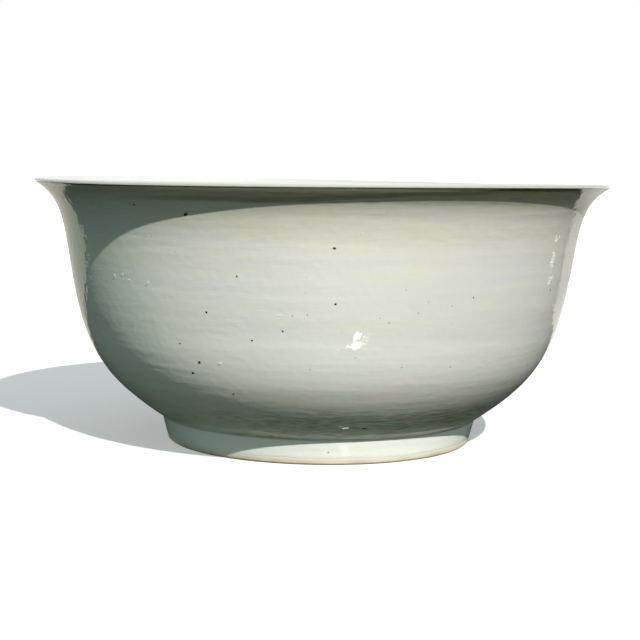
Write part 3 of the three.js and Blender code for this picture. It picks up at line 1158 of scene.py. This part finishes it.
class BOWL_OT_lip_coat(Operator):
    """Turn the thin coat over the lip"""

    bl_idname = "bowl.lip_coat"
    bl_label = "Lip glaze"
    bl_options = {"REGISTER", "UNDO"}

    def execute(self, context):
        scene = context.scene
        glaze = material_named("thin_celadon", lip_glaze, scene)
        loop = closed(coat_loop(glazed_line(scene)["lip"]))
        settle(turned_piece(scene, "lip_coat", loop, glaze), "thin_lip_glaze", "lip_glaze")
        return {"FINISHED"}


class BOWL_OT_inner_coat(Operator):
    """Turn the coat on the floor and the wall inside"""

    bl_idname = "bowl.inner_coat"
    bl_label = "Inside glaze"
    bl_options = {"REGISTER", "UNDO"}

    def execute(self, context):
        scene = context.scene
        spots = glazed_line(scene)["inner"]
        glaze = material_named("pooled_celadon", inside_glaze, scene)
        loop = coat_loop(spots)
        loop = loop[len(spots):] + loop[:len(spots)]
        settle(turned_piece(scene, "inside_coat", loop, glaze), "celadon_glaze", "inner_glaze")
        return {"FINISHED"}


class BOWL_OT_base_coat(Operator):
    """Turn the coat on the recess inside the foot"""

    bl_idname = "bowl.base_coat"
    bl_label = "Base glaze"
    bl_options = {"REGISTER", "UNDO"}

    def execute(self, context):
        scene = context.scene
        foot = scene.foot_shape
        depth, line, out = foot.recess_depth, foot.bore_glaze_line, bore_out(foot)
        corner = bore_face(foot, depth)
        ceiling = straight(Vector((0, depth)), corner, DOWN, CEILING_STEPS)[:-1]
        spots = ceiling + straight(corner, bore_face(foot, line), out, SKIRT_STEPS)
        measure(spots)
        hidden = [
            Spot(bore_face(foot, line, GLAZE), out, spots[-1].along),
            Spot(bore_face(foot, depth + GLAZE, GLAZE), DOWN, ceiling[-1].along),
            Spot(Vector((0, depth + GLAZE)), DOWN),
        ]
        glaze = material_named("pooled_celadon", inside_glaze, scene)
        piece = turned_piece(scene, "base_coat", spots + hidden, glaze, 0.0, line)
        settle(piece, "celadon_glaze", "base_glaze")
        return {"FINISHED"}


class BOWL_OT_foot_ring(Operator):
    """Turn the clay ring that the bowl stands on, bare below the glaze line"""

    bl_idname = "bowl.foot_ring"
    bl_label = "Foot ring"
    bl_options = {"REGISTER", "UNDO"}

    def execute(self, context):
        scene = context.scene
        foot = scene.foot_shape
        bare, deep = foot.bare_depth, foot.clay_depth
        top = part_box("foot_ring")[1].z
        inner_edge = bore_face(foot, 0, bare) + Vector((foot.inner_bevel, 0))
        outer_edge = foot_face(foot, 0, bare) - Vector((foot.outer_bevel, 0))
        loop = straight(inner_edge, outer_edge, DOWN, STANDING_STEPS)
        line, out = foot.glaze_line, face_out(foot)
        low, high = foot_face(foot, foot.outer_bevel, bare), foot_face(foot, line, bare)
        loop += straight(low, high, out, BARE_STEPS)
        loop += [Spot(foot_face(foot, height, deep), out) for height in (line, top)]
        line, out = foot.bore_glaze_line, bore_out(foot)
        low, high = bore_face(foot, foot.inner_bevel, bare), bore_face(foot, line, bare)
        loop += [Spot(bore_face(foot, height, deep), out) for height in (top, line)]
        loop += straight(high, low, out, BARE_BORE_STEPS)
        clay = material_named("raw_clay", bare_clay_material, scene)
        settle(turned_piece(scene, "bare_foot_ring", closed(loop), clay, 0.0), "bare_clay", "foot_ring")
        return {"FINISHED"}


class BOWL_OT_clay_body(Operator):
    """Turn the thrown clay under the glaze, and give the slip in the foot's joint its finish"""

    bl_idname = "bowl.clay_body"
    bl_label = "Clay body"
    bl_options = {"REGISTER", "UNDO"}

    def execute(self, context):
        scene = context.scene
        foot = scene.foot_shape
        deep = foot.clay_depth
        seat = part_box("clay_bowl")[0].z
        line = glazed_line(scene)
        outer, inner = line["outer"], line["inner"]
        under = [Spot(Vector((0, seat)), DOWN), Spot(foot_face(foot, seat, deep), face_out(foot))]
        outside = outer[:2 * HIDDEN_STEP:2] + outer[2 * HIDDEN_STEP::HIDDEN_STEP]
        outside += round_lip(scene.bowl_shape, LIP_STEPS // 2)
        inside = inner[HIDDEN_STEP::HIDDEN_STEP] + inner[-1:]
        clay = material_named("raw_clay", bare_clay_material, scene)
        loop = under + [spot.under(deep) for spot in outside + inside]
        settle(turned_piece(scene, "clay_body", loop, clay), "bare_clay", "clay_bowl")
        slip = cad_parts["slip_joint"]
        slip.data.materials.clear()
        slip.data.materials.append(material_named("raw_slip", bare_clay_material, scene))
        return {"FINISHED"}


# The photograph shows the outside to this bearing on either side. Past it, specks fall at random.
SEEN_BEARING = math.radians(80)
# Where no grain is placed by hand, random ones fall all round.
NONE_SEEN = -1.0
# Which side of a coat shows: its faces look down on the outside and up on the inside.
OUTSIDE = -1.0
INSIDE = 1.0
# A grain's point starts this far off the true outline, clear of the warped coat, and is then set on the coat.
GRAIN_STAND_OFF = 1.2 * MM
# Bearing in degrees, height, width and length in millimetres of each speck that the photograph shows.
SEEN_SPECKS = (
    (-26, 170, 2.3, 3.4),
    (-37.5, 175, 1.5, 1.5),
    (-16.5, 132, 1.4, 1.4),
    (-23.5, 108, 1.5, 1.5),
    (-27, 74, 2.0, 2.0),
    (-29.5, 66, 1.9, 1.9),
    (-31, 86, 1.3, 1.4),
    (-14, 91, 1.4, 1.4),
    (-7.5, 98, 1.3, 1.3),
    (-20.5, 53, 1.5, 1.5),
    (2.5, 151, 1.6, 2.2),
    (3, 116, 1.5, 1.5),
    (13.5, 28, 1.8, 3.4),
    (-5.5, 108, 0.8, 0.9),
    (-2.5, 109, 0.7, 0.8),
    (32.5, 119, 1.0, 1.0),
    (27.5, 114, 0.8, 0.8),
    (20, 110, 0.8, 0.8),
    (59, 120, 1.5, 1.5),
    (12, 107, 0.6, 0.6),
    (14, 104, 0.7, 0.9),
    (17, 125, 0.6, 0.7),
    (22, 117, 0.6, 0.6),
    (-36.5, 155, 0.7, 0.8),
    (-35, 155, 0.6, 0.6),
    (-2, 73, 0.7, 0.7),
    (-10.5, 38, 0.9, 0.9),
    (30, 73, 0.8, 0.8),
    (18, 74, 0.7, 0.7),
    (7.5, 81, 0.6, 0.8),
    (-29.5, 146, 0.6, 0.7),
    (-44, 95, 0.7, 0.8),
)
FOOT_SPECKS = ((3.5, 9, 0.9, 1.2),)
# The same of each small blister in the glaze.
SEEN_BLISTERS = (
    (-48, 126.5, 2.4, 5.2),
    (-45, 128, 1.8, 4.4),
    (-43, 125, 1.6, 3.4),
    (-37.5, 124, 2.0, 5.4),
    (-8, 108, 1.4, 3.6),
    (-22, 74, 2.2, 3.6),
    (-14, 93, 1.0, 2.2),
    (-17, 100, 0.9, 2.4),
    (-12, 51, 0.9, 3.6),
    (39, 72, 1.3, 2.4),
    (6, 30, 1.4, 2.4),
    (7.5, 160, 1.2, 1.6),
    (53.5, 138, 1.1, 1.3),
)


def radius_at(spots, height):
    """The outline's radius at a height, from the spots on either side of it."""
    low = max((spot.at for spot in spots if spot.at.y <= height), key=lambda at: at.y)
    high = min((spot.at for spot in spots if spot.at.y > height), key=lambda at: at.y)
    return low.lerp(high, (height - low.y) / (high.y - low.y)).x


def grains(scene, name, rows, surface, values):
    """Grains on a finished coat, at the rows' places and at random ones where the photograph shows none."""
    line = glazed_line(scene)
    outside = line["foot"] + line["outer"]
    places = []
    for bearing, height, _, _ in rows:
        angle = math.radians(bearing)
        radius = radius_at(outside, height * MM) + GRAIN_STAND_OFF
        places.append((radius * math.sin(angle), -radius * math.cos(angle), height * MM))
    points = loose_points(name + "_points", places, (
        ("width", "FLOAT", [row[2] * MM for row in rows]),
        ("length", "FLOAT", [row[3] * MM for row in rows]),
    ))
    group = group_named("grains_on_a_surface", grains_tree)
    return plain_object(name, points, group, {"Surface": bpy.data.objects[surface], **values})


class BOWL_OT_iron_specks(Operator):
    """Set iron specks in the outside and the inside glaze"""

    bl_idname = "bowl.iron_specks"
    bl_label = "Iron specks"
    bl_options = {"REGISTER", "UNDO"}

    def execute(self, context):
        scene = context.scene
        specks = scene.iron_specks
        values = {
            "Density": specks.density,
            "Least": specks.least,
            "Most": specks.most,
            "Flatness": specks.flatness,
            "Material": material_named("burnt_iron", speck_material, scene),
        }
        outside = {**values, "Seen Bearing": SEEN_BEARING, "Shown Side": OUTSIDE, "Seed": specks.seed}
        inside = {**values, "Seen Bearing": NONE_SEEN, "Shown Side": INSIDE, "Seed": specks.seed + 1}
        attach(grains(scene, "outside_specks", SEEN_SPECKS, "outside_coat", outside), BODY)
        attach(grains(scene, "foot_specks", FOOT_SPECKS, "foot_coat", outside), BODY)
        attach(grains(scene, "inside_specks", (), "inside_coat", inside), BODY)
        return {"FINISHED"}


class BOWL_OT_blisters(Operator):
    """Raise small blisters in the outside glaze"""

    bl_idname = "bowl.blisters"
    bl_label = "Blisters"
    bl_options = {"REGISTER", "UNDO"}

    def execute(self, context):
        scene = context.scene
        blisters = scene.blisters
        values = {
            "Density": blisters.density,
            "Least": blisters.least,
            "Most": blisters.most,
            "Flatness": blisters.flatness,
            "Seen Bearing": SEEN_BEARING,
            "Shown Side": OUTSIDE,
            "Seed": blisters.seed,
            "Material": material_named("fired_celadon", outside_glaze, scene),
        }
        settle(grains(scene, "glaze_blisters", SEEN_BLISTERS, "outside_coat", values), "celadon_glaze")
        return {"FINISHED"}


class BOWL_OT_stage(Operator):
    """Set up the camera, the lamps, the floor and the room"""

    bl_idname = "bowl.stage"
    bl_label = "Studio"
    bl_options = {"REGISTER", "UNDO"}

    def execute(self, context):
        scene = context.scene
        stage = scene.bowl_stage
        scene.view_settings.view_transform = "Standard"
        add_camera(scene, stage)
        add_key_lamp(scene, stage)
        add_floor(scene, stage)
        add_dark_table(scene)
        light_room(scene, stage)
        return {"FINISHED"}


def add_camera(scene, stage):
    data = bpy.data.cameras.new("camera")
    data.lens = stage.lens
    data.sensor_width = 36
    camera = bpy.data.objects.new("camera", data)
    camera.location = (0, -stage.camera_distance, stage.camera_height)
    tilt = Euler((math.pi / 2 - stage.camera_pitch, 0, 0)).to_matrix()
    roll = Euler((0, 0, stage.camera_roll)).to_matrix()
    camera.rotation_euler = (tilt @ roll).to_euler()
    scene.collection.objects.link(camera)
    scene.camera = camera


def add_key_lamp(scene, stage):
    data = bpy.data.lights.new("key_lamp", "SUN")
    data.angle = stage.key_width
    data.energy = stage.key_strength
    data.color = stage.key_colour
    lamp = bpy.data.objects.new("key_lamp", data)
    level = math.cos(stage.key_height)
    way = Vector((level * math.sin(stage.key_bearing), -level * math.cos(stage.key_bearing),
                  math.sin(stage.key_height)))
    lamp.location = way
    lamp.rotation_euler = way.to_track_quat("Z", "Y").to_euler()
    scene.collection.objects.link(lamp)


def either(t, factor, first, second):
    """The first shader where the factor is 0, and the second where it is 1."""
    return t.add("ShaderNodeMixShader", ((0, factor), (1, first.outputs[0]), (2, second.outputs[0])))


def both(t, first, second):
    return t.add("ShaderNodeAddShader", ((0, first.outputs[0]), (1, second.outputs[0])))


def seen_directly(t):
    """1 for camera, glossy and transmission rays, and 0 for the rays that light the bowl."""
    rays = t.add("ShaderNodeLightPath").outputs
    seen = t.math("MAXIMUM", rays["Is Camera Ray"], rays["Is Glossy Ray"])
    return t.math("MAXIMUM", seen, rays["Is Transmission Ray"])


# Where the light that the floor gives back changes: outwards from the bowl's axis near it and far off, and
# along X to its left and right. Further out the floor brightens to the white of the room.
NEAR_REACH = (0.13, 0.34)
FAR_REACH = (0.34, 0.5)
LEFT_REACH = (-0.26, -0.06)
RIGHT_REACH = (0.15, 0.4)
WHITE_REACH = (0.5, 1.6)
NEAR_LIFT = 0.3
FLOOR_HALF = 60.0
FLOOR_GREY = (0.8, 0.8, 0.8, 1.0)
BLACK = (0.0, 0.0, 0.0)


def floor_bounce(t, stage, place, reach):
    """The colour that the floor gives back: less of it on the left, and warmer further off on the right."""
    sideways = t.split(place)[0]
    given_back = t.mixed(t.eased(reach, *NEAR_REACH), stage.near_bounce, stage.bounce)
    lost = t.times(t.eased(sideways, *LEFT_REACH, 1.0, 0.0), stage.left_loss)
    given_back = t.mixed(lost, given_back, BLACK)
    far_right = t.times(t.eased(sideways, *RIGHT_REACH), t.eased(reach, *FAR_REACH))
    return t.mixed(far_right, given_back, stage.right_bounce)


def floor_material(stage):
    """Pale and shadowed to look at, dim where it lights the bowl, and clear from below."""
    made, t = blank_material("pale_floor")
    place = t.object_place()
    reach = t.number("LENGTH", place)
    pale = t.add("ShaderNodeBsdfDiffuse", (("Color", FLOOR_GREY),))
    lift = t.add("ShaderNodeEmission", (("Strength", t.eased(reach, *WHITE_REACH, NEAR_LIFT, 1.0)),))
    bounce = t.add("ShaderNodeBsdfDiffuse", (("Color", floor_bounce(t, stage, place, reach)),))
    above = either(t, seen_directly(t), bounce, both(t, pale, lift))
    below = t.add("ShaderNodeNewGeometry").outputs["Backfacing"]
    t.put_out(either(t, below, above, t.add("ShaderNodeBsdfTransparent")))
    return made


def flat_object(scene, name, corners, material):
    """One flat face of the stage."""
    mesh = bpy.data.meshes.new(name)
    mesh.from_pydata(corners, [], [range(len(corners))])
    mesh.materials.append(material)
    made = bpy.data.objects.new(name, mesh)
    scene.collection.objects.link(made)
    return made


def add_floor(scene, stage):
    corners = ((-FLOOR_HALF, -FLOOR_HALF), (FLOOR_HALF, -FLOOR_HALF), (FLOOR_HALF, FLOOR_HALF),
               (-FLOOR_HALF, FLOOR_HALF))
    flat_object(scene, "floor", lying(corners, 0), floor_material(stage))


# Corners in metres of the dark table, whose far edge is where the bright strips in the glaze begin, of the
# dark ground before it, of the grey ground behind it, and of the gap that shows as a streak on the right.
TABLE_CORNERS = (
    (-2.5, -0.36), (2.5, -0.36), (2.5, 2.3), (0.87, 0.77), (0.58, 0.46), (0.5, 0.335), (0.455, 0.29),
    (0.38, 0.32), (0.2, 0.36), (-0.33, 0.295), (-0.42, 0.33), (-0.53, 0.36), (-0.85, 0.42), (-2.5, 0.6),
)
FRONT_CORNERS = ((-2.5, -3), (2.5, -3), (2.5, -0.3), (-2.5, -0.3))
BACK_CORNERS = ((-4, 0.2), (4, 0.2), (4, 6), (-4, 6))
GAP_CORNERS = ((0.725, 0.292), (0.815, 0.362), (0.805, 0.378), (0.713, 0.308))
# The table also mirrors the key light into the belly and the foot. Small upright cards stand for that just
# before the bowl: their places along Y, and their corners to the right and up.
BELLY_GLINT_PLACE = -0.197
BELLY_GLINTS = (
    ((0.0294, 0.0852), (0.0335, 0.0846), (0.0352, 0.0792), (0.0334, 0.0748), (0.0276, 0.0738),
     (0.0282, 0.0785)),
    ((0.027, 0.0719), (0.0315, 0.0723), (0.0358, 0.0708), (0.034, 0.0655), (0.0288, 0.0645),
     (0.0268, 0.0668)),
    ((0.0224, 0.069), (0.0249, 0.0699), (0.0249, 0.0673), (0.0232, 0.0669)),
    ((0.0154, 0.0652), (0.017, 0.0652), (0.017, 0.064), (0.0154, 0.064)),
)
FOOT_GLINT_PLACE = -0.1197
FOOT_GLINT = ((0.0177, 0.0085), (0.0222, 0.0095), (0.0238, 0.0045), (0.0202, 0.0015), (0.0184, 0.003))
# The table, the ground beyond it and the ground before it lie this high, so that none hides another.
TABLE_HEIGHT = 0.3 * MM
GROUND_HEIGHT = 0.2 * MM
GAP_HEIGHT = 1 * MM
POLISH_GLOSS = (0.04, 0.04, 0.038, 1.0)
POLISH_STAIN = (0.02, 0.022, 0.018, 1.0)
DARK_GROUND = (0.04, 0.042, 0.03, 1.0)
# The ground beyond the table along X, from its left to behind the bowl and on to its right.
GREY_LEFT = (-0.3, 0.2)
GREY_RIGHT = (0.42, 0.62)
GREY_STRENGTHS = (0.76, 0.96, 0.72)
SANDY_GROUND = (1.0, 0.97, 0.79)
GREY_GROUND = (1.0, 0.97, 0.88)
GAP_LIGHT = (1.0, 1.0, 0.97)
GAP_STRENGTH = 3.5
GLINT_LIGHT = (1.0, 1.0, 0.98)
BELLY_GLINT_STRENGTH = 24.0
FOOT_GLINT_STRENGTH = 4.0
POLISH_ROUGHNESS = 0.1
GROUND_ROUGHNESS = 0.9
# The room's light takes its tint from above where the direction rises by this share.
ABOVE = 0.7


def mirrored_card(scene, name, corners, material):
    """A flat card that only mirror rays see, so that it shows in the glaze and nowhere else."""
    card = flat_object(scene, name, corners, material)
    for rays in ("camera", "diffuse", "transmission", "volume_scatter", "shadow"):
        setattr(card, "visible_" + rays, False)


def lying(corners, height):
    return [(x, y, height) for x, y in corners]


def upright(corners, place):
    return [(x, place, z) for x, z in corners]


def glowing_material(name, hue, strength):
    made, t = blank_material(name)
    t.put_out(t.add("ShaderNodeEmission", (("Color", (*hue, 1.0)), ("Strength", strength))))
    return made


def polish_material():
    """A dark polish, which mirrors the key lamp in a wide soft glint."""
    made, t = blank_material("dark_polish")
    gloss = t.add("ShaderNodeBsdfAnisotropic", (("Color", POLISH_GLOSS), ("Roughness", POLISH_ROUGHNESS)))
    t.put_out(both(t, gloss, t.add("ShaderNodeBsdfDiffuse", (("Color", POLISH_STAIN),))))
    return made


def dark_ground_material():
    made, t = blank_material("dark_ground")
    dress(t, ("Base Color", DARK_GROUND), ("Roughness", GROUND_ROUGHNESS))
    return made


def grey_ground_material():
    """Ground that is sandier on the left and palest behind the bowl."""
    made, t = blank_material("grey_ground")
    sideways = t.split(t.object_place())[0]
    left, middle, right = GREY_STRENGTHS
    strength = t.math("MINIMUM", t.eased(sideways, *GREY_LEFT, left, middle),
                      t.eased(sideways, *GREY_RIGHT, middle, right))
    hue = t.mixed(t.eased(sideways, *GREY_LEFT), SANDY_GROUND, GREY_GROUND)
    t.put_out(t.add("ShaderNodeEmission", (("Color", hue), ("Strength", strength))))
    return made


def add_dark_table(scene):
    """What the glaze mirrors: a dark table, the ground round it, a bright gap and the key lamp's glints."""
    mirrored_card(scene, "dark_table", lying(TABLE_CORNERS, TABLE_HEIGHT), polish_material())
    mirrored_card(scene, "front_ground", lying(FRONT_CORNERS, GROUND_HEIGHT), dark_ground_material())
    mirrored_card(scene, "back_ground", lying(BACK_CORNERS, GROUND_HEIGHT), grey_ground_material())
    gap_light = glowing_material("bright_gap", GAP_LIGHT, GAP_STRENGTH)
    mirrored_card(scene, "bright_gap", lying(GAP_CORNERS, GAP_HEIGHT), gap_light)
    glint = glowing_material("key_glint", GLINT_LIGHT, BELLY_GLINT_STRENGTH)
    for i, corners in enumerate(BELLY_GLINTS):
        mirrored_card(scene, f"belly_glint_{i + 1}", upright(corners, BELLY_GLINT_PLACE), glint)
    soft_glint = glowing_material("soft_glint", GLINT_LIGHT, FOOT_GLINT_STRENGTH)
    mirrored_card(scene, "foot_glint", upright(FOOT_GLINT, FOOT_GLINT_PLACE), soft_glint)


def light_room(scene, stage):
    """The room is white to look at, and lights the bowl softly."""
    world = bpy.data.worlds.new("room")
    world.use_nodes = True
    world.node_tree.nodes.clear()
    t = Tree(world.node_tree)
    rise = t.split(t.add("ShaderNodeTexCoord").outputs["Generated"])[2]
    tint = t.mixed(t.eased(rise, 0.0, ABOVE), stage.fill_colour, stage.fill_above)
    soft = t.add("ShaderNodeBackground", (("Color", tint), ("Strength", stage.fill)))
    white = t.add("ShaderNodeBackground", (("Color", (1.0, 1.0, 1.0, 1.0)), ("Strength", 1.0)))
    t.put_out(either(t, seen_directly(t), soft, white), "ShaderNodeOutputWorld")
    scene.world = world


OPERATORS = (
    BOWL_OT_clay_body,
    BOWL_OT_foot_ring,
    BOWL_OT_base_coat,
    BOWL_OT_foot_coat,
    BOWL_OT_outer_coat,
    BOWL_OT_lip_coat,
    BOWL_OT_inner_coat,
    BOWL_OT_iron_specks,
    BOWL_OT_blisters,
    BOWL_OT_stage,
)


class BOWL_PT_sidebar(Panel):
    """The bowl's sizes and colours, and a button for each group of pieces"""

    bl_idname = "BOWL_PT_sidebar"
    bl_label = "Centerpiece bowl"
    bl_space_type = "VIEW_3D"
    bl_region_type = "UI"
    bl_category = "Bowl"

    def draw(self, context):
        for name, group in GROUPS.items():
            box = self.layout.box()
            box.label(text=name.replace("_", " ").capitalize())
            for key in group.__annotations__:
                box.prop(getattr(context.scene, name), key)
        for operator in OPERATORS:
            self.layout.operator(operator.bl_idname)


CLASSES = (*GROUPS.values(), *OPERATORS, BOWL_PT_sidebar)


def register():
    for cls in CLASSES:
        bpy.utils.register_class(cls)
    for name, group in GROUPS.items():
        setattr(bpy.types.Scene, name, PointerProperty(type=group))


def unregister():
    for name in GROUPS:
        delattr(bpy.types.Scene, name)
    for cls in reversed(CLASSES):
        bpy.utils.unregister_class(cls)


def main():
    register()
    for operator in OPERATORS:
        getattr(bpy.ops.bowl, operator.bl_idname.split(".")[1])()


if __name__ == "__main__":
    main()
